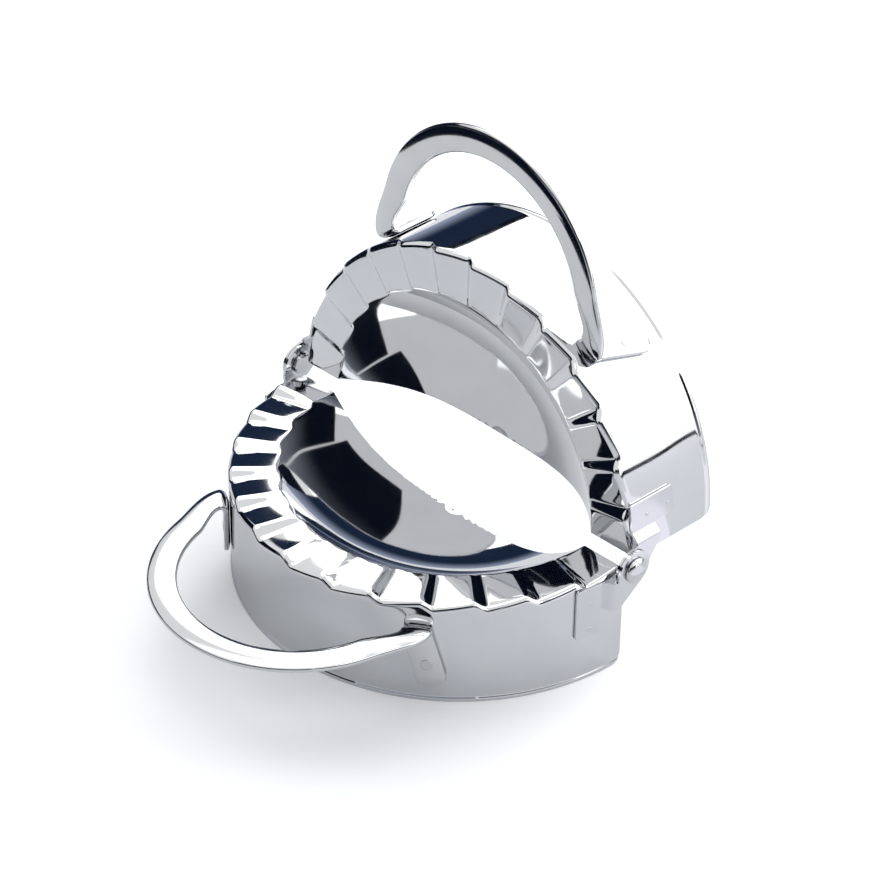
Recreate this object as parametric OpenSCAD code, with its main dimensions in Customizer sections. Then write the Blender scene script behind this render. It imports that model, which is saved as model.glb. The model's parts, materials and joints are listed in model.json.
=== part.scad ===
// Empanada press: two identical stamped halves on a riveted hinge, each with a
// fluted rim, a filling bowl, a cutting skirt and a looped strip handle.
// The lower half stands on its cutting edge and the upper half is folded open.

/* [Stamped half] */
// Diameter over the cutting skirt
press_d = 100; // [88:1:125]
// Height of a half from its cutting edge to its rim plane
half_h = 25; // [21:1:32]
// Thickness of the stamped sheet
sheet_t = 0.7; // [0.5:0.05:0.9]
// Height of the turned lip along the cutting edge
lip_h = 1.2; // [0.8:0.1:2]
// How far the lip stands out from the skirt
lip_out = 0.3; // [0.1:0.05:0.5]
// Radius of the skirt's lower corners at the hinge
corner_r = 2.5; // [1:0.25:4]
// Angle between the halves, where 0 is closed and 180 is flat
open_angle = 92; // [0:1:180]

/* [Fluted rim] */
// Number of flutes round the half circle
flute_count = 14; // [9:1:18]
// Step from flute to flute at the outer rim
flute_rise = 1.6; // [0.8:0.1:2]
// Step from flute to flute beside the bowl
flute_inner_rise = 0.8; // [0.4:0.1:1.2]
// Share of each flute taken by its steep face
flute_step = 0.22; // [0.12:0.02:0.36]
// Width of the fluted band
rim_w = 10.2; // [8:0.2:12.6]
// Radius of the fold between rim and skirt
rim_fold_r = 1.2; // [1:0.1:1.6]
// Radius of the fold between rim and bowl
bowl_fold_r = 1.5; // [1.1:0.1:2.2]

/* [Bowl] */
// Depth of the bowl below the rim plane
bowl_depth = 12; // [8:0.5:15]
// Fullness of the bowl, higher for a flatter floor and steeper sides
bowl_fullness = 3.4; // [2.6:0.1:4]

/* [Hinge] */
// Height of the hinge axis above the rim plane
axis_lift = 0.8; // [0.6:0.1:1.4]
// Gap between the hinge plane and the ends of the skirt
skirt_gap = 0.3; // [0.2:0.05:0.8]
// Gap between the hinge plane and the ends of rim and bowl
bowl_gap = 1.3; // [0.8:0.1:2.5]
// Thickness of a hinge leaf
leaf_t = 0.6; // [0.5:0.05:0.9]
// Distance from the hinge plane to the far edge of a leaf
leaf_reach = 13; // [12:0.2:16]
// Width of a leaf's welded plate
leaf_w = 5.8; // [5:0.2:6.4]
// Height of the welded plate
leaf_h = 12.8; // [10.5:0.2:15]
// Height of the arm between plate and ear
arm_h = 6.7; // [6:0.1:8.4]
// Distance from the rim plane down to the top of a leaf
leaf_drop = 0.5; // [0.3:0.1:1.5]
// Radius of a hinge ear
ear_r = 4.4; // [3.9:0.1:4.8]
// Diameter of the rivet's shank
rivet_d = 3; // [2.4:0.1:3.4]
// Diameter of the rivet's domed head
head_d = 5.8; // [5:0.1:6.6]
// Height of the rivet's domed head
head_h = 1.6; // [1.1:0.1:2]
// Diameter of the rivet's flat tail
tail_d = 5; // [4.6:0.1:6]
// Thickness of the rivet's flat tail
tail_t = 0.8; // [0.5:0.05:1]
// Radial clearance of the rivet in the ears
rivet_clear = 0.05; // [0.02:0.01:0.1]
// Gap between the faces that turn on each other
face_gap = 0.1; // [0.05:0.05:0.25]

/* [Handle] */
// Width of the handle strip
strip_w = 6.3; // [5:0.1:7.5]
// Thickness of the handle strip
strip_t = 1.5; // [1.2:0.1:2]
// Outer radius of the handle's loop
loop_r = 32; // [29:0.5:35]
// How far the loop stands out in front of the skirt
handle_reach = 28.2; // [24:0.2:40]
// Distance from the rim plane down to the top of the strip
strip_drop = 4.4; // [4:0.2:8]
// Angle of a handle foot from the hinge line
foot_angle = 53.5; // [51:0.5:56]
// Lean of a foot towards the hinge, left by the skew bend of the strip
foot_lean = 15; // [5:1:20]
// Height of a foot, from the top of the strip to its free end
foot_h = 16; // [12:0.5:16.5]
// Outer radius of the bend between leg and foot
foot_bend_r = 2.2; // [2.1:0.1:3]
// Radius of the foot's free corners
foot_corner_r = 1.8; // [1:0.1:2.4]
// Film left between welded sheets
weld_gap = 0.05; // [0.02:0.01:0.1]

/* [Hidden] */

$fn = 144;
// Overlap of cutting shapes past the faces they cut
over = 1;
steel = "silver";
bright = "gainsboro";
dull = "darkgray";

skirt_r = press_d / 2;
axis_z = half_h + axis_lift;
tilt = 180 - open_angle;

// Length over which the fluted band covers plain sheet at each of its edges
land = 0.5;
// Length by which the band's tapered edge runs on inside that sheet
bite = 0.6;
// How far the band stands proud of plain sheet where it covers it
swell = 0.06;
// How far the tapered edge lies inside the sheet's skins
shrink = 0.15;
// Angle kept between the band's cut ends and its first whole section
end_margin = 0.4;

// Rim and bowl section
flange_in = skirt_r - rim_w;
fold_drop = bowl_fold_r / 2;
bowl_slope = atan((bowl_depth - fold_drop) * bowl_fullness / flange_in);
fold_in_r = flange_in - bowl_fold_r * sin(bowl_slope);
fold_in_z = -bowl_fold_r * (1 - cos(bowl_slope));
mouth_r = fold_in_r - land * cos(bowl_slope);
mouth_z = fold_in_z - land * sin(bowl_slope);
join_z = -(rim_fold_r + flute_rise / 2 + land);
// Facets of each fold, of each flute's long face and of the bowl's section
fold_steps = 3;
ramp_steps = 4;
bowl_steps = 12;

// Hinge places along the axis
tail_gap = 0.6;
tail_x = skirt_r + tail_gap;
inner_ear_x = tail_x + tail_t + face_gap;
outer_ear_x = inner_ear_x + leaf_t + face_gap;
head_x = outer_ear_x + leaf_t + face_gap;
leaf_r = skirt_r + weld_gap;
leaf_top = half_h - leaf_drop;
plate_end = leaf_reach - leaf_w;

// Room left round an ear before its leaf bends towards the skirt
ear_room = 0.5;
ear_clear = ear_r + ear_room;
// How far the arm's underside runs on towards the ear
heel_run = 1;
// Overlap of the arm with the curved plate
arm_lap = 0.4;

// Handle places
foot_r = skirt_r + weld_gap;
strip_top = half_h - strip_drop;
loop_y = skirt_r + handle_reach - loop_r;
// Height of the bend's lower end, and length and half width of the tab below it
bend_z = strip_top - foot_bend_r;
tab_h = foot_h - foot_bend_r;
half_neck = strip_w / 2 / cos(foot_lean);
// Step out from the tab's face at which the leg takes over
neck_room = (foot_bend_r - strip_t) / 3;
neck_r = foot_r + strip_t + neck_room;
// How far the cuts round a foot reach inside the skirt's face
foot_back = 2 * strip_t;

// Overall reach to front and back, which centres the press on its own box
lip_r = skirt_r + lip_out;
front_reach = skirt_r + handle_reach;
shell_back = lip_r * cos(tilt) + axis_z * sin(tilt);
handle_back = front_reach * cos(tilt) + (axis_z - strip_top + strip_t) * sin(tilt);
closed_back = skirt_gap * -cos(tilt);
back_reach = max(shell_back, handle_back, closed_back);
centre_y = (back_reach - front_reach) / 2;

// Relative height of the flutes at angle a, from -0.5 to 0.5
function flute(a) =
  let (w = a * flute_count / 180, f = w - floor(w), h = flute_step / 2)
  f < h ? f / (2 * h) :
  f > 1 - h ? (f - 1) / (2 * h) :
  0.5 - (f - h) / (1 - 2 * h);

// Angles at which the fluted band has a section, clear of its two cut ends
end_angle = asin(bowl_gap / (mouth_r - bite)) + end_margin;
flute_angles = concat(
  [0],
  [for (k = [0 : flute_count - 1], i = [0 : ramp_steps])
    let (a = (k + flute_step / 2 + (1 - flute_step) * i / ramp_steps) * 180 / flute_count)
    if (a > end_angle && a < 180 - end_angle) a],
  [180]);

// Rows of the fluted band: radius, height, flute step, lean of the sheet and swell
rim_rows = concat(
  [[mouth_r - bite * cos(bowl_slope), mouth_z - bite * sin(bowl_slope), 0, -bowl_slope, -shrink],
   [mouth_r, mouth_z, 0, -bowl_slope, swell],
   [fold_in_r, fold_in_z, 0, -bowl_slope, swell]],
  [for (i = [fold_steps - 1 : -1 : 0])
    let (lean = -bowl_slope * i / fold_steps)
    [flange_in + bowl_fold_r * sin(lean), bowl_fold_r * (cos(lean) - 1),
     flute_inner_rise * (1 - i / fold_steps), lean, 0]],
  [for (i = [0 : fold_steps])
    let (lean = 90 * i / fold_steps)
    [skirt_r + rim_fold_r * (sin(lean) - 1), rim_fold_r * (cos(lean) - 1), flute_rise, lean, 0]],
  [[skirt_r, join_z, 0, 90, swell],
   [skirt_r, join_z - land, 0, 90, swell],
   [skirt_r, join_z - land - bite, 0, 90, -shrink]]);

// Point of the fluted band on its upper skin (side 0) or lower skin (side 1)
function rim_point(row, a, side) =
  let (out = side == 0 ? row[4] : -sheet_t - row[4],
       r = row[0] + out * sin(row[3]),
       end = asin(bowl_gap / r),
       b = min(max(a, end), 180 - end))
  [r * cos(b), -r * sin(b), half_h + row[1] + row[2] * flute(b) + out * cos(row[3])];

// Fluted band of sheet with the folds on both of its sides
module fluted_band() {
  rows = len(rim_rows);
  ring = 2 * rows;
  last = len(flute_angles) - 1;
  points = [for (a = flute_angles)
    each concat([for (row = rim_rows) rim_point(row, a, 0)],
                [for (i = [rows - 1 : -1 : 0]) rim_point(rim_rows[i], a, 1)])];
  sides = [for (s = [0 : last - 1], i = [0 : ring - 1])
    let (j = (i + 1) % ring, p = s * ring, q = p + ring)
    each [[p + i, q + j, q + i], [p + i, p + j, q + j]]];
  caps = [for (i = [0 : rows - 2])
    let (j = ring - 1 - i, q = last * ring)
    each [[j, j - 1, i + 1, i], [q + i, q + i + 1, q + j - 1, q + j]]];
  polyhedron(points = points, faces = concat(sides, caps), convexity = 10);
}

// Skirt with the lip of its cutting edge, rounded off at the hinge ends
module skirt() {
  difference() {
    rotate([0, 0, 180])
      rotate_extrude(angle = 180)
        polygon([
          [skirt_r - sheet_t + lip_out, 0],
          [lip_r, 0],
          [lip_r, lip_h - lip_out],
          [skirt_r, lip_h],
          [skirt_r, half_h + join_z - land / 2],
          [skirt_r - sheet_t, half_h + join_z - land / 2],
          [skirt_r - sheet_t, lip_h]]);
    translate([-press_d, -skirt_gap, -over])
      cube([2 * press_d, press_d, press_d]);
    difference() {
      translate([-press_d, -skirt_gap - corner_r, -over])
        cube([2 * press_d, corner_r + over, corner_r + over]);
      translate([0, -skirt_gap - corner_r, corner_r])
        rotate([0, 90, 0])
          cylinder(r = corner_r, h = 2 * press_d, center = true);
    }
  }
}

// Radius and height of the bowl's upper skin at share s of its mouth
function bowl_point(s) =
  [mouth_r * s, mouth_z - (bowl_depth + mouth_z) * (1 - pow(s, bowl_fullness))];
// Slope of the bowl there
function bowl_lean(s) =
  atan((bowl_depth + mouth_z) * bowl_fullness / mouth_r * pow(s, bowl_fullness - 1));
function bowl_under(s) =
  bowl_point(s) + sheet_t * [sin(bowl_lean(s)), -cos(bowl_lean(s))];

// Half bowl of revolution that holds the filling, open on the hinge side
module bowl() {
  steps = [for (i = [1 : bowl_steps]) i / bowl_steps];
  up = land / 2 * [cos(bowl_slope), sin(bowl_slope)];
  difference() {
    translate([0, 0, half_h])
      rotate([0, 0, 180])
        rotate_extrude(angle = 180)
          polygon(concat(
            [[0, -bowl_depth]],
            [for (s = steps) bowl_point(s)],
            [bowl_point(1) + up, bowl_under(1) + up],
            [for (i = [bowl_steps - 1 : -1 : 0]) bowl_under(steps[i])],
            [[0, -bowl_depth - sheet_t]]));
    translate([-press_d, -bowl_gap, -over])
      cube([2 * press_d, press_d, press_d]);
  }
}

// One stamping: skirt, fluted rim and bowl from a single sheet
module shell() {
  color(steel)
    union() {
      skirt();
      fluted_band();
      bowl();
    }
}

// Point where a line from p touches the circle round c on the given side
function touch(p, c, r, side) =
  let (d = c - p,
       a = atan2(-d[1], -d[0]) + side * acos(r / norm(d)))
  c + r * [cos(a), sin(a)];

// Side outline of a leaf: welded plate, arm and ear, drawn as depth and height
module leaf_outline() {
  ear = [0, axis_z];
  heel = [heel_run - ear_clear, leaf_top - arm_h];
  brow = [-ear_clear, leaf_top];
  translate([-leaf_reach, leaf_top - leaf_h])
    square([leaf_w, leaf_h]);
  polygon([
    [-leaf_reach, leaf_top - arm_h],
    heel,
    touch(heel, ear, ear_r, 1),
    ear,
    touch(brow, ear, ear_r, -1),
    brow,
    [-leaf_reach, leaf_top]]);
  translate(ear)
    circle(r = ear_r);
}

// Hinge leaf on the +X end, with its ear standing at ear_x along the axis
module leaf(ear_x) {
  plate_x = sqrt(pow(leaf_r, 2) - pow(plate_end, 2));
  joggle = atan2(ear_x - plate_x, plate_end - ear_clear);
  mitre = leaf_t * tan(joggle / 2);
  color(bright)
    difference() {
      intersection() {
        union() {
          intersection() {
            difference() {
              cylinder(r = leaf_r + leaf_t, h = axis_z + ear_r);
              translate([0, 0, -over])
                cylinder(r = leaf_r, h = axis_z + ear_r + 2 * over);
            }
            translate([0, -leaf_reach - over, 0])
              cube([press_d, leaf_w + over, axis_z + ear_r]);
          }
          linear_extrude(height = axis_z + ear_r)
            polygon([
              [plate_x, -plate_end - arm_lap],
              [plate_x + leaf_t / 2, -plate_end - arm_lap],
              [plate_x + leaf_t, -plate_end],
              [ear_x + leaf_t, -ear_clear],
              [ear_x + leaf_t, ear_r + over],
              [ear_x, ear_r + over],
              [ear_x, mitre - ear_clear],
              [plate_x, mitre - plate_end]]);
        }
        rotate([90, 0, 90])
          linear_extrude(height = press_d)
            leaf_outline();
      }
      translate([0, 0, axis_z])
        rotate([0, 90, 0])
          cylinder(r = rivet_d / 2 + rivet_clear, h = press_d);
    }
}

// Leaf on the right end, whose ear lies outside
module outer_leaf() {
  leaf(outer_ear_x);
}

// Leaf on the left end, whose ear lies inside
module inner_leaf() {
  mirror([1, 0, 0])
    leaf(inner_ear_x);
}

// Hinge rivet on the +X end: domed head, shank and flat tail
module rivet() {
  dome_r = (pow(head_d / 2, 2) + pow(head_h, 2)) / (2 * head_h);
  color(dull)
    translate([0, 0, axis_z])
      rotate([0, 90, 0])
        union() {
          translate([0, 0, tail_x])
            cylinder(d = tail_d, h = tail_t);
          translate([0, 0, tail_x])
            cylinder(d = rivet_d, h = head_x - tail_x + head_h / 2);
          intersection() {
            translate([0, 0, head_x + head_h - dome_r])
              sphere(r = dome_r);
            translate([0, 0, head_x])
              cylinder(d = head_d + over, h = head_h + over);
          }
        }
}

// Section of leg and foot: flat strip, bend and tab against the skirt
module foot_section() {
  bend_r = foot_r + foot_bend_r;
  far = norm([loop_r, loop_y]) + over;
  translate([foot_r, bend_z - tab_h - over])
    square([strip_t, tab_h + over]);
  intersection() {
    difference() {
      translate([bend_r, bend_z])
        circle(r = foot_bend_r);
      translate([bend_r, bend_z])
        circle(r = foot_bend_r - strip_t);
    }
    translate([foot_r, bend_z])
      square(foot_bend_r);
  }
  translate([bend_r, strip_top - strip_t])
    square([far - bend_r, strip_t]);
}

// Leaning outline of the tab, from the lower end of the bend to its rounded corners
module tab_outline() {
  corner_x = strip_w / 2 - foot_corner_r;
  corner_y = foot_corner_r - tab_h;
  intersection() {
    rotate(foot_lean) {
      translate([-strip_w / 2, corner_y])
        square([strip_w, tab_h]);
      translate([-corner_x, -tab_h])
        square([2 * corner_x, tab_h]);
      for (side = [-1, 1])
        translate([side * corner_x, corner_y])
          circle(r = foot_corner_r);
    }
    translate([-strip_w * 2, -foot_h])
      square([strip_w * 4, foot_h]);
  }
}

// Cut that leaves the tab and the neck of the bend standing on the skirt
module foot_cut() {
  reach = 2 * strip_w + over;
  top = foot_bend_r + over;
  rotate([0, 0, -foot_angle])
    translate([foot_r - foot_back, 0, bend_z])
      rotate([90, 0, 90])
        linear_extrude(height = foot_back + strip_t + 2 * neck_room)
          difference() {
            translate([-reach, -foot_h])
              square([2 * reach, foot_h + top]);
            polygon([
              [-half_neck, 0],
              [0, -over],
              [half_neck, 0],
              [half_neck, top + over],
              [-half_neck, top + over]]);
            tab_outline();
          }
}

// Point beside a foot: along the skirt towards the hinge, and out from its axis
function beside_foot(along, out) =
  out * [cos(foot_angle), -sin(foot_angle)] + along * [sin(foot_angle), cos(foot_angle)];

// Leg on the +X side, from inside the loop's end to the foot on the skirt
module leg() {
  bend_r = foot_r + foot_bend_r;
  back_r = foot_r - foot_back;
  wide = 1.5 * strip_w;
  difference() {
    intersection() {
      rotate([0, 0, 270])
        rotate_extrude(angle = 90)
          foot_section();
      translate([0, 0, strip_top - foot_h - 2 * over])
        linear_extrude(height = foot_h + 3 * over)
          polygon([
            [loop_r - strip_w, -loop_y],
            [loop_r - strip_w + over, -loop_y - over],
            [loop_r - over, -loop_y - over],
            [loop_r, -loop_y],
            beside_foot(half_neck, bend_r),
            beside_foot(half_neck, neck_r),
            beside_foot(wide, neck_r),
            beside_foot(wide, back_r),
            beside_foot(-wide, back_r),
            beside_foot(-wide, neck_r),
            beside_foot(-half_neck, neck_r),
            beside_foot(-half_neck, bend_r)]);
    }
    foot_cut();
  }
}

// Looped strip handle with a foot welded to the skirt on each side
module handle() {
  color(bright)
    union() {
      translate([0, -loop_y, strip_top - strip_t])
        rotate([0, 0, 180])
          rotate_extrude(angle = 180)
            translate([loop_r - strip_w, 0])
              square([strip_w, strip_t]);
      leg();
      mirror([1, 0, 0])
        leg();
    }
}

// Puts a piece of the lower half in its place
module place_lower() {
  translate([0, -centre_y, 0])
    children();
}

// Turns a piece of a half about the hinge into the upper half
module place_upper() {
  translate([0, -centre_y, axis_z])
    rotate([tilt, 0, 0])
      translate([0, 0, -axis_z])
        rotate([0, 0, 180])
          children();
}

place_lower() shell();  // lower_shell
place_upper() shell();  // upper_shell
place_lower() handle();  // lower_handle
place_upper() handle();  // upper_handle
place_lower() outer_leaf();  // lower_leaf_right
place_lower() inner_leaf();  // lower_leaf_left
place_upper() inner_leaf();  // upper_leaf_right
place_upper() outer_leaf();  // upper_leaf_left
place_lower() rivet();  // rivet_right
place_lower() mirror([1, 0, 0]) rivet();  // rivet_left
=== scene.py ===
"""Looks of the empanada press: polished stamped steel on a plain pale floor under soft studio light."""
import json
import math

import bmesh
import bpy
from mathutils import Matrix, Vector


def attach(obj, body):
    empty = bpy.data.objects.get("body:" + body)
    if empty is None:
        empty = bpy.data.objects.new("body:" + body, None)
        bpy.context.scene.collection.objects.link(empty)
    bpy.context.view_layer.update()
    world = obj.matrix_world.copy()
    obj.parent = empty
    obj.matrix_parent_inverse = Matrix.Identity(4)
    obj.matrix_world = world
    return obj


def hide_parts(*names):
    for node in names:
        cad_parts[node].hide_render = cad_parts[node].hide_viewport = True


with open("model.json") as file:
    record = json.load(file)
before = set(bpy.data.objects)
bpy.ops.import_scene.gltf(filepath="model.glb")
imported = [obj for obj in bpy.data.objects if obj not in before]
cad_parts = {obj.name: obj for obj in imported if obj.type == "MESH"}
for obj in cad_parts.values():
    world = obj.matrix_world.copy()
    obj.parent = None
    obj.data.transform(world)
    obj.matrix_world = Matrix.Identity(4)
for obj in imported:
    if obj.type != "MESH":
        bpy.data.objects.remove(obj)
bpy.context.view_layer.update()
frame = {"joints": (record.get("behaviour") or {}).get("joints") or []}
MM = 0.001


# ---------------------------------------------------------------- camera
def add_camera():
    """Camera at the photograph's place: 46 degrees to the right, 36 degrees up, 0.65 m away."""
    place = Vector((0.3767, -0.343, 0.4111))
    back = Vector((0.5788, -0.5676, 0.5855)).normalized()
    level = Vector((0.7001, 0.7140, 0.0)).normalized()
    up = back.cross(level).normalized()
    roll = math.radians(0.7126)
    side = level * math.cos(roll) + up * math.sin(roll)
    top = up * math.cos(roll) - level * math.sin(roll)
    camera = bpy.data.objects.new("camera", bpy.data.cameras.new("camera"))
    camera.matrix_world = Matrix.Translation(place) @ Matrix((side, top, back)).transposed().to_4x4()
    camera.data.sensor_width = 36
    camera.data.lens = 120.84
    camera.data.shift_x = -0.0166
    camera.data.shift_y = -0.0053
    bpy.context.scene.collection.objects.link(camera)
    bpy.context.scene.camera = camera


add_camera()
bpy.context.scene.view_settings.view_transform = "Standard"


# ---------------------------------------------------------------- materials
def linear(hex_colour, alpha=1.0):
    """sRGB hex as the linear colour that the shader takes."""
    parts = [int(hex_colour[i:i + 2], 16) / 255 for i in (1, 3, 5)]
    return tuple(c / 12.92 if c <= 0.04045 else ((c + 0.055) / 1.055) ** 2.4 for c in parts) + (alpha,)


def add_node(tree, kind, values=None, links=None, **settings):
    """Adds a node with its settings, its socket values and the sockets that feed it."""
    node = tree.nodes.new(kind)
    for key, value in settings.items():
        setattr(node, key, value)
    for socket, value in (values or {}).items():
        node.inputs[socket].default_value = value
    for socket, source in (links or {}).items():
        tree.links.new(source, node.inputs[socket])
    return node


def empty_material(name):
    """A material with only its output node."""
    material = bpy.data.materials.new(name)
    material.use_nodes = True
    tree = material.node_tree
    tree.nodes.clear()
    return material, tree, tree.nodes.new("ShaderNodeOutputMaterial")


def steel(name, colour, haze_colour, roughness, haze, wave, grain, grain_pitch):
    """Stainless steel: wiped haze in colour and roughness, sheet wave and polishing grain in bump.

    wave is the depth in mm of the slow unevenness that a press leaves in sheet, grain that of the fine polishing
    lines, and grain_pitch the distance between them in mm.
    """
    material, tree, output = empty_material(name)
    place = add_node(tree, "ShaderNodeTexCoord").outputs["Object"]
    wipe = add_node(tree, "ShaderNodeTexNoise", {"Scale": 90, "Detail": 4, "Roughness": 0.6}, {"Vector": place})
    colours = add_node(
        tree, "ShaderNodeMix", {"A": linear(colour), "B": linear(haze_colour)},
        {"Factor": wipe.outputs["Fac"]}, data_type="RGBA")
    rough = add_node(
        tree, "ShaderNodeMapRange",
        {"From Min": 0.3, "From Max": 0.75, "To Min": roughness, "To Max": roughness + haze},
        {"Value": wipe.outputs["Fac"]})
    slow = add_node(tree, "ShaderNodeTexNoise", {"Scale": 55, "Detail": 0.5}, {"Vector": place})
    stretch = add_node(tree, "ShaderNodeMapping", {"Scale": (1, 1, 0.12)}, {"Vector": place})
    lines = add_node(
        tree, "ShaderNodeTexNoise", {"Scale": 1 / (grain_pitch * MM), "Detail": 2},
        {"Vector": stretch.outputs["Vector"]})
    low = add_node(
        tree, "ShaderNodeBump", {"Strength": 1.0, "Distance": wave * MM}, {"Height": slow.outputs["Fac"]})
    fine = add_node(
        tree, "ShaderNodeBump", {"Strength": 1.0, "Distance": grain * MM},
        {"Height": lines.outputs["Fac"], "Normal": low.outputs["Normal"]})
    shader = add_node(
        tree, "ShaderNodeBsdfPrincipled", {"Metallic": 1.0},
        {"Base Color": colours.outputs["Result"], "Roughness": rough.outputs["Result"],
         "Normal": fine.outputs["Normal"]})
    tree.links.new(shader.outputs["BSDF"], output.inputs["Surface"])
    return material


# Stainless sheet, stamped and then mirror polished: sharp reflections that bend a little with the sheet
mirror_sheet = steel(
    "mirror_polished_stainless_sheet", "#DCDDDF", "#CFD1D4",
    roughness=0.035, haze=0.04, wave=0.2, grain=0.0006, grain_pitch=0.5)
# Stainless strip, bent edgeways and tumbled: bright, with a fine grain along it
tumbled_strip = steel(
    "tumbled_stainless_strip", "#DADBDC", "#CBCCCE",
    roughness=0.07, haze=0.06, wave=0.02, grain=0.0015, grain_pitch=0.35)
# Blanked stainless leaf, polished before welding: a little softer than the sheet it lies on
blanked_leaf = steel(
    "blanked_stainless_leaf", "#D8D9DC", "#CACCCF",
    roughness=0.08, haze=0.06, wave=0.02, grain=0.001, grain_pitch=0.35)
# Upset stainless rivet: bright dome with a soft crown
upset_rivet = steel(
    "upset_stainless_rivet", "#D2D3D5", "#C2C3C6",
    roughness=0.09, haze=0.06, wave=0.01, grain=0.001, grain_pitch=0.3)
# Resistance weld: steel that was squeezed and dulled by the electrode
weld_spot = steel(
    "resistance_weld_spot", "#D4D5D8", "#C4C5C9",
    roughness=0.1, haze=0.06, wave=0.01, grain=0.002, grain_pitch=0.3)


# ---------------------------------------------------------------- stage and light
def stage_plate(name, size, turn, at, material, seen_by_camera=True):
    """A flat stage plate of that size in metres, turned and then moved."""
    bm = bmesh.new()
    bmesh.ops.create_grid(bm, x_segments=1, y_segments=1, size=0.5)
    bmesh.ops.scale(bm, vec=(size[0], size[1], 1), verts=bm.verts)
    mesh = bpy.data.meshes.new(name)
    bm.to_mesh(mesh)
    bm.free()
    plate = bpy.data.objects.new(name, mesh)
    mesh.materials.append(material)
    bpy.context.scene.collection.objects.link(plate)
    plate.rotation_euler = [math.radians(a) for a in turn]
    plate.location = at
    plate.visible_camera = seen_by_camera
    plate.visible_diffuse = seen_by_camera
    plate.visible_shadow = seen_by_camera


def floor_material():
    """White card floor that shows the camera more light than it gives back, so that it ends in white off the press."""
    material, tree, output = empty_material("white_card_floor")
    ray = add_node(tree, "ShaderNodeLightPath")
    card = add_node(tree, "ShaderNodeBsdfDiffuse", {"Color": linear("#F3F4F6")})
    place = add_node(tree, "ShaderNodeTexCoord").outputs["Object"]
    # Painted light: a glow for camera rays only, 0.14 within 3 cm of the press's middle and 0.36 from 6 cm out, so the
    # floor beside the press stays darker as painted shade and turns white further off
    middle = (0.01, -0.01, 0)
    away = add_node(tree, "ShaderNodeVectorMath", {1: middle}, {0: place}, operation="DISTANCE")
    rise = add_node(
        tree, "ShaderNodeMapRange", {"From Min": 0.03, "From Max": 0.06, "To Min": 0.14, "To Max": 0.36},
        {"Value": away.outputs["Value"]}, interpolation_type="SMOOTHSTEP")
    level = add_node(
        tree, "ShaderNodeMath", None, {0: rise.outputs["Result"], 1: ray.outputs["Is Camera Ray"]},
        operation="MULTIPLY")
    lift = add_node(tree, "ShaderNodeEmission", {"Color": linear("#FFFFFF")}, {"Strength": level.outputs["Value"]})
    both = add_node(tree, "ShaderNodeAddShader", None, {0: card.outputs["BSDF"], 1: lift.outputs["Emission"]})
    tree.links.new(both.outputs["Shader"], output.inputs["Surface"])
    return material


def card_material(name, colour, strength=1.0, foot=None, height=1.0):
    """A flag or card that shows only in the steel. Below its middle it fades to the colour of its foot, where given."""
    material, tree, output = empty_material(name)
    place = add_node(tree, "ShaderNodeTexCoord").outputs["Object"]
    split = add_node(tree, "ShaderNodeSeparateXYZ", None, {"Vector": place})
    fade = add_node(
        tree, "ShaderNodeMapRange", {"From Min": -height / 2, "From Max": 0}, {"Value": split.outputs["Y"]},
        interpolation_type="SMOOTHSTEP")
    mixed = add_node(
        tree, "ShaderNodeMix", {"A": linear(foot or colour), "B": linear(colour)}, {"Factor": fade.outputs["Result"]},
        data_type="RGBA")
    card = add_node(tree, "ShaderNodeEmission", {"Strength": strength}, {"Color": mixed.outputs["Result"]})
    tree.links.new(card.outputs["Emission"], output.inputs["Surface"])
    return material


def studio_world():
    """White walls for the camera and for reflections, and a softer fill for matt surfaces."""
    world = bpy.data.worlds.new("white_studio")
    bpy.context.scene.world = world
    world.use_nodes = True
    tree = world.node_tree
    tree.nodes.clear()
    output = tree.nodes.new("ShaderNodeOutputWorld")
    ray = add_node(tree, "ShaderNodeLightPath")
    white = add_node(tree, "ShaderNodeBackground", {"Color": linear("#FFFFFF"), "Strength": 1.0})
    fill = add_node(tree, "ShaderNodeBackground", {"Color": linear("#F2F5FA"), "Strength": 0.42})
    mirrored = add_node(
        tree, "ShaderNodeMath", None, {0: ray.outputs["Is Camera Ray"], 1: ray.outputs["Is Glossy Ray"]},
        operation="ADD")
    shown = add_node(
        tree, "ShaderNodeMath", None, {0: mirrored.outputs["Value"], 1: ray.outputs["Is Transmission Ray"]},
        operation="ADD", use_clamp=True)
    both = add_node(
        tree, "ShaderNodeMixShader", None,
        {0: shown.outputs["Value"], 1: fill.outputs["Background"], 2: white.outputs["Background"]})
    tree.links.new(both.outputs["Shader"], output.inputs["Surface"])


def softbox(name, size, at, aim, watts):
    """A rectangular softbox that shows in the steel but not to the camera."""
    light = bpy.data.lights.new(name, "AREA")
    light.shape = "RECTANGLE"
    light.size, light.size_y = size
    light.energy = watts
    lamp = bpy.data.objects.new(name, light)
    lamp.location = at
    lamp.rotation_euler = (Vector(aim) - Vector(at)).to_track_quat("-Z", "Y").to_euler()
    lamp.visible_camera = False
    bpy.context.scene.collection.objects.link(lamp)


stage_plate("floor", (8, 8), (0, 0, 0), (0, 0, 0), floor_material())
FRONT_FLAG_H = 0.98
NEAR_FLAG_H = 0.19
felt = card_material("dark_felt_flag", "#0B1220")
fading_felt = card_material("fading_felt_flag", "#0B1220", foot="#B4B8C2", height=FRONT_FLAG_H)
navy = card_material("navy_card", "#1D2A42", foot="#A3ADC4", height=NEAR_FLAG_H)
# Painted light: a glowing card that only the steel sees, standing for a brightly lit patch of table behind the right
# side
painted_table_light = card_material("painted_table_light_card", "#F8F6FF", 1.25)
white_wall = card_material("white_wall_card", "#FFFFFF", 1.5)
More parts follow.
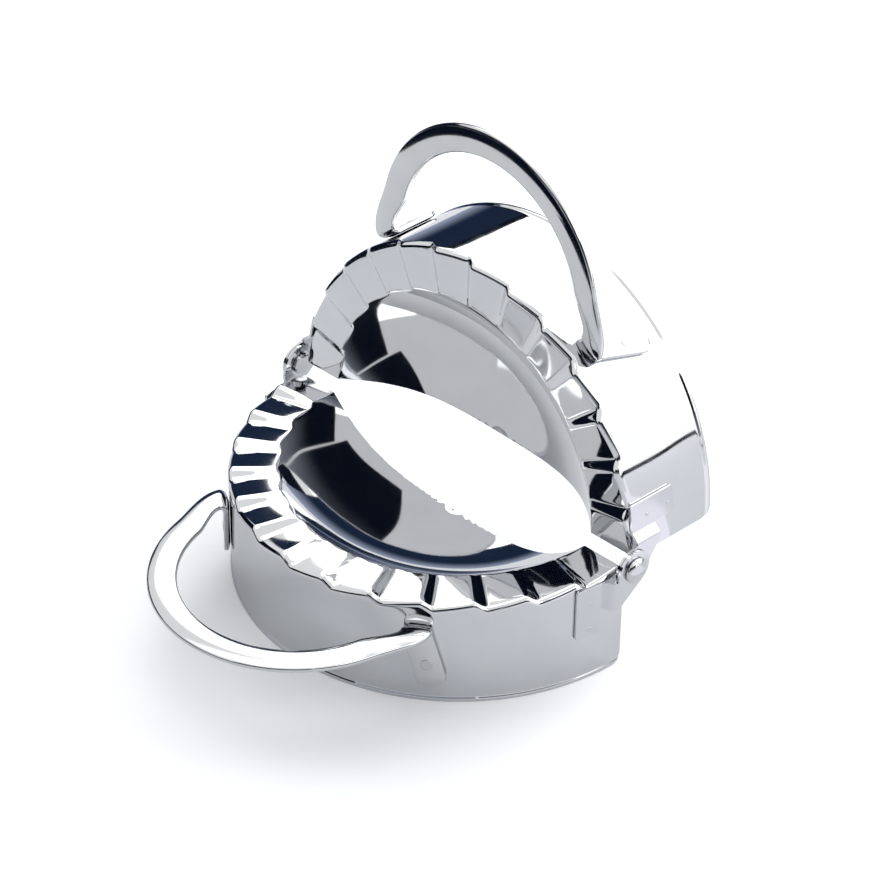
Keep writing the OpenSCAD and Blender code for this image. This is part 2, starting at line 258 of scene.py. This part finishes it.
# Cards that only the steel sees, by size, turn and place: dark flags behind the camera, low along the back, near the
# press and on the table in front, a white card behind its right side, and a glowing card on the table there, which is
# painted
# light: a brightly lit patch of table, its long edge along the shadow of the upper half
CARDS = (
    ("flag_front_left", (1.5, 0.4), (90, 0, -35), (-0.6, -0.86, 0.18), felt),
    ("flag_front", (1.1, FRONT_FLAG_H), (90, 0, 30), (0.5, -0.95, 0.47), fading_felt),
    ("flag_left", (1.0, 0.62), (90, 0, 90), (-1.1, -0.1, 0.29), felt),
    ("flag_right", (0.8, 0.6), (90, 0, 78), (1.0, -0.21, 0.4), fading_felt),
    ("flag_back_left", (1.1, 0.55), (90, 0, 52), (-0.95, 0.75, 0.22), felt),
    ("flag_back_low", (1.9, 0.16), (90, 0, 0), (-0.3, 0.95, 0.06), felt),
    ("flag_back_right", (1.6, 0.035), (90, 0, -45), (0.95, 0.85, 0.02), felt),
    ("flag_near_left", (0.45, NEAR_FLAG_H), (90, 0, 52), (-0.3, 0.25, 0.085), navy),
    ("flag_table_left", (0.75, 0.6), (0, 0, 45), (-0.43, -0.43, 0.0008), felt),
    ("flag_table_front", (0.17, 0.6), (0, 0, 0), (-0.02, -0.46, 0.0012), felt),
    ("painted_table_light_plate", (1.2, 0.14), (0, 0, 34), (0.606, 0.34, 0.0008), painted_table_light),
    ("card_back", (1.6, 0.34), (90, 0, -45), (0.96, 0.86, 0.2), white_wall),
)
for name, size, turn, at, material in CARDS:
    stage_plate(name, size, turn, at, material, seen_by_camera=False)
studio_world()
softbox("softbox_back", (3.2, 1.3), (0, 1.05, 0.85), (0, 0, 0.05), 20)
softbox("softbox_top", (0.9, 0.9), (-0.35, 0.1, 1.3), (0, 0, 0.05), 3)
softbox("softbox_right", (0.7, 0.9), (1.15, 0.1, 0.75), (0, 0, 0.05), 3)


# ---------------------------------------------------------------- sizes of the press, in millimetres
# Stamping
SKIRT_R = 50
HALF_H = 25
SHEET_T = 0.7
LIP_H = 1.2
LIP_OUT = 0.3
CORNER_R = 2.5
RIM_W = 10.2
RIM_FOLD_R = 1.2
BOWL_FOLD_R = 1.5
BOWL_DEPTH = 12
BOWL_FULLNESS = 3.4
# Gaps from the hinge plane to the ends of the skirt, and to those of rim and bowl
SKIRT_GAP = 0.3
BOWL_GAP = 1.3
# Flutes: their number, steps at the outer rim and beside the bowl, share of the steep face, columns of faces in each
FLUTES = 14
FLUTE_RISE = 1.6
FLUTE_INNER_RISE = 0.8
FLUTE_STEP = 0.22
COLUMNS = 28
# Film between welded sheets, and gap between the faces that turn on each other
WELD_GAP = 0.05
FACE_GAP = 0.1
# Hinge leaves, which stand a little further off the skirt than in CAD
LEAF_T = 0.6
LEAF_R = SKIRT_R + WELD_GAP
LEAF_LIFT = 0.1
LEAF_REACH = 13
LEAF_W = 5.8
LEAF_H = 12.8
LEAF_TOP = HALF_H - 0.5
LEAF_CORNER_R = 0.5
ARM_H = 6.7
EAR_R = 4.4
EAR_CLEAR = EAR_R + 0.5
HEEL_RUN = 1
INNER_EAR_X = 51.5
OUTER_EAR_X = INNER_EAR_X + LEAF_T + FACE_GAP
# Rivets
HEAD_X = OUTER_EAR_X + LEAF_T + FACE_GAP
HEAD_R = 2.9
HEAD_H = 1.6
SHANK_R = 1.5
TAIL_R = 2.5
TAIL_T = 0.8
TAIL_X = INNER_EAR_X - FACE_GAP - TAIL_T
# Handle strip, its loop and its feet
STRIP_W = 6.3
STRIP_HALF = STRIP_W / 2
STRIP_T = 1.5
STRIP_TOP = HALF_H - 4.4
LOOP_R = 32
LOOP_CENTRE = Vector((0, -46.2, STRIP_TOP))
LOOP_START = math.radians(14)
FOOT_TURN = math.radians(53.5)
FOOT_LEAN = math.radians(15)
FOOT_H = 16
FOOT_R = SKIRT_R + WELD_GAP
FOOT_BEND_R = 2.2
FOOT_CORNER_R = 1.8
BEND_Z = STRIP_TOP - FOOT_BEND_R
NECK_HALF = STRIP_HALF / math.cos(FOOT_LEAN)
# Spot welds: their radii, how far down a foot one lies, and where the two on a leaf lie
FOOT_WELD_R = 1.3
FOOT_WELD_DOWN = 8
LEAF_WELD_R = 0.5
LEAF_WELD_Y = 9.6
LEAF_WELDS_Z = (13.5, 19.9)
OPEN_ANGLE = 92

hinge = Vector(frame["joints"][0]["pos_m"]) / MM
AXIS_Z = hinge.z
LOWER = Matrix.Translation((0, hinge.y, 0))
UPPER = (Matrix.Translation(hinge) @ Matrix.Rotation(math.radians(180 - OPEN_ANGLE), 4, "X")
         @ Matrix.Translation((0, 0, -AXIS_Z)) @ Matrix.Rotation(math.pi, 4, "Z"))
HALVES = {"lower": LOWER, "upper": UPPER}
TO_METRES = Matrix.Scale(MM, 4)


def finish_piece(name, bm, place, material):
    """Turns a bmesh in millimetres into a piece in metres, at its place on the press."""
    bmesh.ops.transform(bm, matrix=TO_METRES @ place, verts=bm.verts)
    mesh = bpy.data.meshes.new(name)
    bm.to_mesh(mesh)
    bm.free()
    mesh.materials.append(material)
    mesh.polygons.foreach_set("use_smooth", [True] * len(mesh.polygons))
    piece = bpy.data.objects.new(name, mesh)
    bpy.context.scene.collection.objects.link(piece)
    return piece


def round_edges(piece, width, segments=2, angle=50, harden=False):
    """Breaks the sharp edges of a piece, in millimetres, as tumbling does."""
    bevel = piece.modifiers.new("broken_edges", "BEVEL")
    bevel.width = width * MM
    bevel.segments = segments
    bevel.limit_method = "ANGLE"
    bevel.angle_limit = math.radians(angle)
    bevel.harden_normals = harden
    bevel.use_clamp_overlap = True


# ---------------------------------------------------------------- stampings
def flute(turn):
    """Height of the flutes, from -0.5 to 0.5, at a turn of 0 to 1 round the half circle."""
    f = (turn * FLUTES) % 1.0
    h = FLUTE_STEP / 2
    if f < h:
        return f / (2 * h)
    if f > 1 - h:
        return (f - 1) / (2 * h)
    return 0.5 - (f - h) / (1 - 2 * h)


def soft_flute(turn):
    """The same with its corners rounded, as sheet takes them over the die."""
    spread = 0.045 / FLUTES
    return sum(flute(turn + spread * (i / 3 - 1)) for i in range(7)) / 7


def smooth_step(x):
    """Runs from 0 to 1 with level ends."""
    return x * x * (3 - 2 * x)


def section_of_stamping():
    """Upper skin from the middle of the bowl to the lip: radius, height, rise of the flutes, gap to the hinge plane."""
    flange_in = SKIRT_R - RIM_W
    slope = math.atan((BOWL_DEPTH - BOWL_FOLD_R / 2) * BOWL_FULLNESS / flange_in)
    mouth_r = flange_in - BOWL_FOLD_R * math.sin(slope)
    mouth_z = -BOWL_FOLD_R * (1 - math.cos(slope))
    # Bowl, with its rows closer together towards the fold
    rows = []
    first = BOWL_GAP / mouth_r
    for i in range(25):
        share = first + (1 - first) * (1 - (1 - i / 25) ** 1.35)
        rows.append((mouth_r * share, mouth_z - (BOWL_DEPTH + mouth_z) * (1 - share ** BOWL_FULLNESS), 0, BOWL_GAP))
    # Fold between bowl and rim, out of which the flutes rise
    for i in range(9):
        lean = slope * (1 - i / 8)
        rows.append((flange_in - BOWL_FOLD_R * math.sin(lean), BOWL_FOLD_R * (math.cos(lean) - 1),
                     FLUTE_INNER_RISE * smooth_step(i / 8), BOWL_GAP))
    # Fluted band
    outer_in = SKIRT_R - RIM_FOLD_R
    for i in range(1, 7):
        share = i / 7
        rows.append((flange_in + (outer_in - flange_in) * share, 0,
                     FLUTE_INNER_RISE + (FLUTE_RISE - FLUTE_INNER_RISE) * share, BOWL_GAP))
    # Fold between rim and skirt, below which the flutes die out
    for i in range(9):
        lean = math.pi / 2 * i / 8
        rows.append((outer_in + RIM_FOLD_R * math.sin(lean), RIM_FOLD_R * (math.cos(lean) - 1), FLUTE_RISE, BOWL_GAP))
    plain = RIM_FOLD_R + FLUTE_RISE / 2 + 0.6
    for i in range(1, 4):
        rows.append((SKIRT_R, -RIM_FOLD_R - (plain - RIM_FOLD_R) * i / 3, FLUTE_RISE * (1 - smooth_step(i / 3)),
                     BOWL_GAP))
    # Plain skirt
    for depth in (plain + 0.3, 5, 9, 13, 17, 20, 21.5, 22.3, 22.9, 23.3):
        rows.append((SKIRT_R, -depth, 0, SKIRT_GAP))
    # Shoulder that eases the lip out of the skirt, and the cutting edge
    shoulder_top, shoulder_h = LIP_H + 0.15, 0.9
    for i in range(9):
        share = i / 8
        rows.append((SKIRT_R + LIP_OUT * smooth_step(share), shoulder_top - shoulder_h * share - HALF_H, 0, SKIRT_GAP))
    rows.append((SKIRT_R + LIP_OUT, -HALF_H, 0, SKIRT_GAP))
    return rows


def stamping():
    """One stamping: a section of the sheet spun through half a turn, fluted and cut back from the hinge plane."""
    rows = section_of_stamping()
    last = len(rows) - 1
    bm = bmesh.new()
    row_of = bm.verts.layers.int.new("row")
    skins = []
    for i, (radius, height, _, _) in enumerate(rows):
        if i == 0:
            run = Vector((1, 0))
        elif i == last:
            run = Vector((0, -1))
        else:
            run = Vector((rows[i + 1][0] - rows[i - 1][0], rows[i + 1][1] - rows[i - 1][1])).normalized()
        skins.append([bm.verts.new((radius, 0, height)),
                      bm.verts.new((radius + SHEET_T * run.y, 0, height - SHEET_T * run.x))])
        for vert in skins[-1]:
            vert[row_of] = i
    for one, two in zip(skins, skins[1:]):
        bm.faces.new((one[0], one[1], two[1], two[0]))
    bmesh.ops.spin(bm, geom=bm.verts[:] + bm.edges[:] + bm.faces[:], cent=(0, 0, 0), axis=(0, 0, 1), angle=-math.pi,
                   steps=FLUTES * COLUMNS, use_duplicate=False)
    for vert in bm.verts:
        _, height, rise, gap = rows[vert[row_of]]
        radius = math.hypot(vert.co.x, vert.co.y)
        level = HALF_H + height
        if level < CORNER_R:
            gap += CORNER_R - math.sqrt(CORNER_R ** 2 - (CORNER_R - level) ** 2)
        end = math.asin(min(gap / radius, 1))
        angle = min(max(math.atan2(max(-vert.co.y, 0), vert.co.x), end), math.pi - end)
        lift = rise * soft_flute(angle / math.pi)
        vert.co = (radius * math.cos(angle), -radius * math.sin(angle), HALF_H + vert.co.z + lift)
    bmesh.ops.remove_doubles(bm, verts=bm.verts, dist=0.002)
    bmesh.ops.dissolve_degenerate(bm, edges=bm.edges, dist=0.001)
    bmesh.ops.recalc_face_normals(bm, faces=bm.faces)
    return bm


stamped = stamping()
for half, place in HALVES.items():
    shell = finish_piece(f"{half}_stamping", stamped.copy(), place, mirror_sheet)
    round_edges(shell, 0.14)
    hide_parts(f"{half}_shell")
    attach(shell, f"{half}_half")
stamped.free()


# ---------------------------------------------------------------- handles
def strip_section():
    """Outline of the strip as shares of its width and depths below its face: crowned face, rounded edges."""
    edge = 0.6
    slope = math.radians(15)
    flat = STRIP_HALF - edge * (1 - math.sin(slope))
    crown = flat * math.tan(slope) / 2
    face = [(flat * (i / 8 - 1), crown * (i / 8 - 1) ** 2) for i in range(17)]
    side = []
    for i in range(1, 9):
        turn = slope + (math.pi / 2 - slope) * i / 8
        side.append((flat + edge * (math.sin(turn) - math.sin(slope)),
                     crown + edge * (math.cos(slope) - math.cos(turn))))
    under = 0.3
    for i in range(5):
        turn = math.pi / 2 * i / 4
        side.append((STRIP_HALF - under + under * math.cos(turn), STRIP_T - under + under * math.sin(turn)))
    outline = face + side + [(-x, depth) for x, depth in reversed(side)]
    return [(x / STRIP_HALF, depth) for x, depth in outline]


def on_skirt(along, out, height):
    """Point beside a foot: along the skirt towards the hinge, out from the axis of the skirt, and up."""
    angle = FOOT_TURN - math.asin(along / out)
    return Vector((out * math.cos(angle), -out * math.sin(angle), height))


def curve(start, away, into, end, t):
    """Point at t of the Bezier curve that leaves start along one vector and arrives at end along another."""
    hold, reach = start + away, end - into
    return (1 - t) ** 3 * start + 3 * t * (1 - t) ** 2 * hold + 3 * t * t * (1 - t) * reach + t ** 3 * end


def foot_rings(section):
    """Rings of a foot from its free end, whose corners are rounded, to the bend."""
    tab = FOOT_H - FOOT_BEND_R
    rings = []
    steps = 20
    for i in range(steps):
        down = tab * (1 - i / steps) ** 1.5
        rest = FOOT_CORNER_R - (tab - down)
        wide = STRIP_HALF
        if rest > 0:
            wide += math.sqrt(FOOT_CORNER_R ** 2 - rest ** 2) - FOOT_CORNER_R
        ring = []
        for x, depth in section:
            across = x * wide
            run = down + across * math.tan(FOOT_LEAN) * (1 - down / tab)
            ring.append(on_skirt(run * math.sin(FOOT_LEAN) + across * math.cos(FOOT_LEAN), FOOT_R + depth,
                                 BEND_Z - run * math.cos(FOOT_LEAN) + across * math.sin(FOOT_LEAN)))
        rings.append(ring)
    return rings


def bend_rings(section):
    """Rings round the bend between foot and leg."""
    rings = []
    for i in range(13):
        turn = math.pi / 2 * i / 12
        rings.append([on_skirt(x * NECK_HALF, FOOT_R + FOOT_BEND_R - (FOOT_BEND_R - depth) * math.cos(turn),
                               BEND_Z + (FOOT_BEND_R - depth) * math.sin(turn)) for x, depth in section])
    return rings


def leg_rings(section):
    """Rings of a leg, whose two edges are curves from the bend to the round of the loop."""
    leave = Vector((math.cos(FOOT_TURN + FOOT_LEAN), -math.sin(FOOT_TURN + FOOT_LEAN), 0))
    arrive = Vector((-math.sin(LOOP_START), -math.cos(LOOP_START), 0))
    ray = Vector((math.cos(LOOP_START), -math.sin(LOOP_START), 0))
    edges = []
    for x, radius, hold in ((-NECK_HALF, LOOP_R - STRIP_W, 2.2), (NECK_HALF, LOOP_R, 4.4)):
        start = on_skirt(x, FOOT_R + FOOT_BEND_R, STRIP_TOP)
        end = LOOP_CENTRE + ray * radius
        edges.append([curve(start, leave * hold, arrive * hold, end, i / 14) for i in range(1, 14)])
    return [[near.lerp(far, (x + 1) / 2) - Vector((0, 0, depth)) for x, depth in section]
            for near, far in zip(*edges)]


def loop_rings(section):
    """Rings of the loop's round, up to its middle."""
    rings = []
    for i in range(37):
        turn = LOOP_START + (math.pi / 2 - LOOP_START) * i / 36
        ray = Vector((math.cos(turn), -math.sin(turn), 0))
        rings.append([LOOP_CENTRE + ray * (LOOP_R - STRIP_HALF + x * STRIP_HALF) - Vector((0, 0, depth))
                      for x, depth in section])
    return rings


def handle():
    """Looped strip: its section carried ring by ring from one foot to the middle of the loop, then mirrored."""
    section = strip_section()
    rings = foot_rings(section) + bend_rings(section) + leg_rings(section) + loop_rings(section)
    bm = bmesh.new()
    ring = [bm.verts.new(point) for point in rings[0]]
    edges = [bm.edges.new(pair) for pair in zip(ring, ring[1:] + ring[:1])]
    bm.faces.new(ring)
    for points in rings[1:]:
        made = bmesh.ops.extrude_edge_only(bm, edges=edges)["geom"]
        edges = [item for item in made if isinstance(item, bmesh.types.BMEdge)]
        fresh = {item for item in made if isinstance(item, bmesh.types.BMVert)}
        ring = [next(edge.other_vert(old) for edge in old.link_edges if edge.other_vert(old) in fresh) for old in ring]
        for vert, point in zip(ring, points):
            vert.co = point
    bmesh.ops.mirror(bm, geom=bm.verts[:] + bm.edges[:] + bm.faces[:], axis="X", merge_dist=0.001)
    bmesh.ops.remove_doubles(bm, verts=bm.verts, dist=0.001)
    bmesh.ops.recalc_face_normals(bm, faces=bm.faces)
    return bm


strip_bent = handle()
for half, place in HALVES.items():
    strip = finish_piece(f"{half}_loop_handle", strip_bent.copy(), place, tumbled_strip)
    round_edges(strip, 0.2)
    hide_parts(f"{half}_handle")
    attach(strip, f"{half}_half")
strip_bent.free()


# ---------------------------------------------------------------- hinge leaves
def tangent_point(start, centre, radius, side):
    """Point where a line from start touches a circle, on the given side."""
    away = start - centre
    turn = math.atan2(away.y, away.x) + side * math.acos(radius / away.length)
    return centre + radius * Vector((math.cos(turn), math.sin(turn)))


def leaf_outline():
    """Outline of a leaf as depth from the hinge plane and height: plate, arm and ear, with rounded free corners."""
    plate_end = LEAF_REACH - LEAF_W
    ear = Vector((0, AXIS_Z))
    heel = Vector((HEEL_RUN - EAR_CLEAR, LEAF_TOP - ARM_H))
    brow = Vector((-EAR_CLEAR, LEAF_TOP))
    low, high = tangent_point(heel, ear, EAR_R, 1), tangent_point(brow, ear, EAR_R, -1)
    first = math.atan2(low.y - ear.y, low.x)
    last = math.atan2(high.y - ear.y, high.x)
    far, near = LEAF_CORNER_R - LEAF_REACH, -plate_end - LEAF_CORNER_R
    top, bottom = LEAF_TOP - LEAF_CORNER_R, LEAF_TOP - LEAF_H + LEAF_CORNER_R
    points = []
    for centre, begin in (((far, top), 90), ((far, bottom), 180), ((near, bottom), 270)):
        for i in range(5):
            turn = math.radians(begin + 90 * i / 4)
            points.append(Vector(centre) + LEAF_CORNER_R * Vector((math.cos(turn), math.sin(turn))))
    points += [Vector((-plate_end, LEAF_TOP - ARM_H)), heel]
    if last < first:
        last += 2 * math.pi
    points += [ear + EAR_R * Vector((math.cos(a), math.sin(a)))
               for a in (first + (last - first) * i / 48 for i in range(49))]
    return points + [brow]


def leaf(ear_x):
    """Hinge leaf on the +X end: flat outline, cut where it bends and laid on the skirt, as a sheet without thickness.
    """
    bm = bmesh.new()
    bm.faces.new([bm.verts.new((0, y, z)) for y, z in leaf_outline()])
    plate_end = LEAF_REACH - LEAF_W
    plate_x = math.sqrt((LEAF_R + LEAF_LIFT) ** 2 - plate_end ** 2)
    curved = LEAF_W - 0.6
    cuts = [-plate_end - curved * i / 8 for i in range(1, 9)]
    cuts += [-plate_end + (plate_end - EAR_CLEAR) * i / 8 for i in range(9)]
    for y in cuts:
        bmesh.ops.bisect_plane(bm, geom=bm.verts[:] + bm.edges[:] + bm.faces[:], plane_co=(0, y, 0), plane_no=(0, 1, 0))
    for vert in bm.verts:
        y = vert.co.y
        if y < -plate_end:
            vert.co.x = math.sqrt((LEAF_R + LEAF_LIFT) ** 2 - y * y)
        else:
            vert.co.x = plate_x + (ear_x - plate_x) * smooth_step(min((y + plate_end) / (plate_end - EAR_CLEAR), 1))
    bmesh.ops.recalc_face_normals(bm, faces=bm.faces)
    if bm.faces[0].normal.x < 0:
        bmesh.ops.reverse_faces(bm, faces=bm.faces)
    return bm


def add_leaf(name, ear_x, mirrored, half):
    """Places a leaf on a half, with its sheet thickness and its broken edges."""
    bm = leaf(ear_x)
    if mirrored:
        bmesh.ops.scale(bm, vec=(-1, 1, 1), verts=bm.verts)
        bmesh.ops.reverse_faces(bm, faces=bm.faces)
    piece = finish_piece(f"{name}_polished", bm, HALVES[half], blanked_leaf)
    sheet = piece.modifiers.new("sheet_thickness", "SOLIDIFY")
    sheet.thickness = LEAF_T * MM
    sheet.offset = 1
    round_edges(piece, 0.2, segments=3, harden=True)
    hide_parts(name)
    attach(piece, f"{half}_half")


add_leaf("lower_leaf_right", OUTER_EAR_X, False, "lower")
add_leaf("lower_leaf_left", INNER_EAR_X, True, "lower")
add_leaf("upper_leaf_right", INNER_EAR_X, True, "upper")
add_leaf("upper_leaf_left", OUTER_EAR_X, False, "upper")


# ---------------------------------------------------------------- rivets
def spun(profile, steps):
    """Solid of revolution about the X axis from a profile of places along the axis and radii."""
    bm = bmesh.new()
    verts = [bm.verts.new((x, 0, radius)) for x, radius in profile]
    edges = [bm.edges.new(pair) for pair in zip(verts, verts[1:])]
    bmesh.ops.spin(bm, geom=verts + edges, cent=(0, 0, 0), axis=(1, 0, 0), angle=2 * math.pi, steps=steps,
                   use_merge=True)
    bmesh.ops.remove_doubles(bm, verts=bm.verts, dist=0.0005)
    bmesh.ops.recalc_face_normals(bm, faces=bm.faces)
    return bm


def rivet_profile():
    """Rivet from the crown of its head to its flat tail, with the edges of head and tail rounded."""
    rim = 0.35
    dome = [(HEAD_X + rim + (HEAD_H - rim) * math.cos(math.pi / 2 * i / 12), HEAD_R * math.sin(math.pi / 2 * i / 12))
            for i in range(13)]
    soft = 0.15
    tail = TAIL_X + TAIL_T
    return dome + [(HEAD_X + soft, HEAD_R), (HEAD_X, HEAD_R - soft), (HEAD_X, SHANK_R), (tail, SHANK_R),
                   (tail, TAIL_R - soft), (tail - soft, TAIL_R), (TAIL_X + soft, TAIL_R), (TAIL_X, TAIL_R - soft),
                   (TAIL_X, 0)]


for side, sign in (("right", 1), ("left", -1)):
    bm = spun(rivet_profile(), 64)
    if sign < 0:
        bmesh.ops.scale(bm, vec=(-1, 1, 1), verts=bm.verts)
        bmesh.ops.reverse_faces(bm, faces=bm.faces)
    rivet = finish_piece(f"rivet_{side}_turned", bm, Matrix.Translation(hinge), upset_rivet)
    round_edges(rivet, 0.06, angle=30)
    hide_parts(f"rivet_{side}")
    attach(rivet, "lower_half")


# ---------------------------------------------------------------- weld marks
def weld_mark(name, radius, out, turn, height, half):
    """Ring that a welding electrode leaves, round a dished middle, on a face at that radius and angle of a half."""
    film, dish, ring, root = 0.005, 0.01, 0.05, -0.05
    profile = [(film, 0), (dish, radius * 0.62), (ring, radius * 0.8), (ring * 0.9, radius * 0.9), (film, radius),
               (root, radius), (root, 0)]
    turned = Matrix.Rotation(turn, 4, "Z") @ Matrix.Translation((out, 0, height))
    piece = finish_piece(name, spun(profile, 32), HALVES[half] @ turned, weld_spot)
    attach(piece, f"{half}_half")


foot_turn = FOOT_TURN - math.asin(FOOT_WELD_DOWN * math.sin(FOOT_LEAN) / FOOT_R)
foot_z = BEND_Z - FOOT_WELD_DOWN * math.cos(FOOT_LEAN)
leaf_turn = math.asin(LEAF_WELD_Y / LEAF_R)
leaf_out = LEAF_R + LEAF_LIFT + LEAF_T
for half in HALVES:
    for end, middle, sign in (("plus", 0, 1), ("minus", math.pi, -1)):
        weld_mark(f"{half}_foot_weld_{end}", FOOT_WELD_R, FOOT_R + STRIP_T, middle - sign * foot_turn, foot_z, half)
        for i, height in enumerate(LEAF_WELDS_Z):
            weld_mark(f"{half}_leaf_weld_{end}_{i}", LEAF_WELD_R, leaf_out, middle - sign * leaf_turn, height, half)
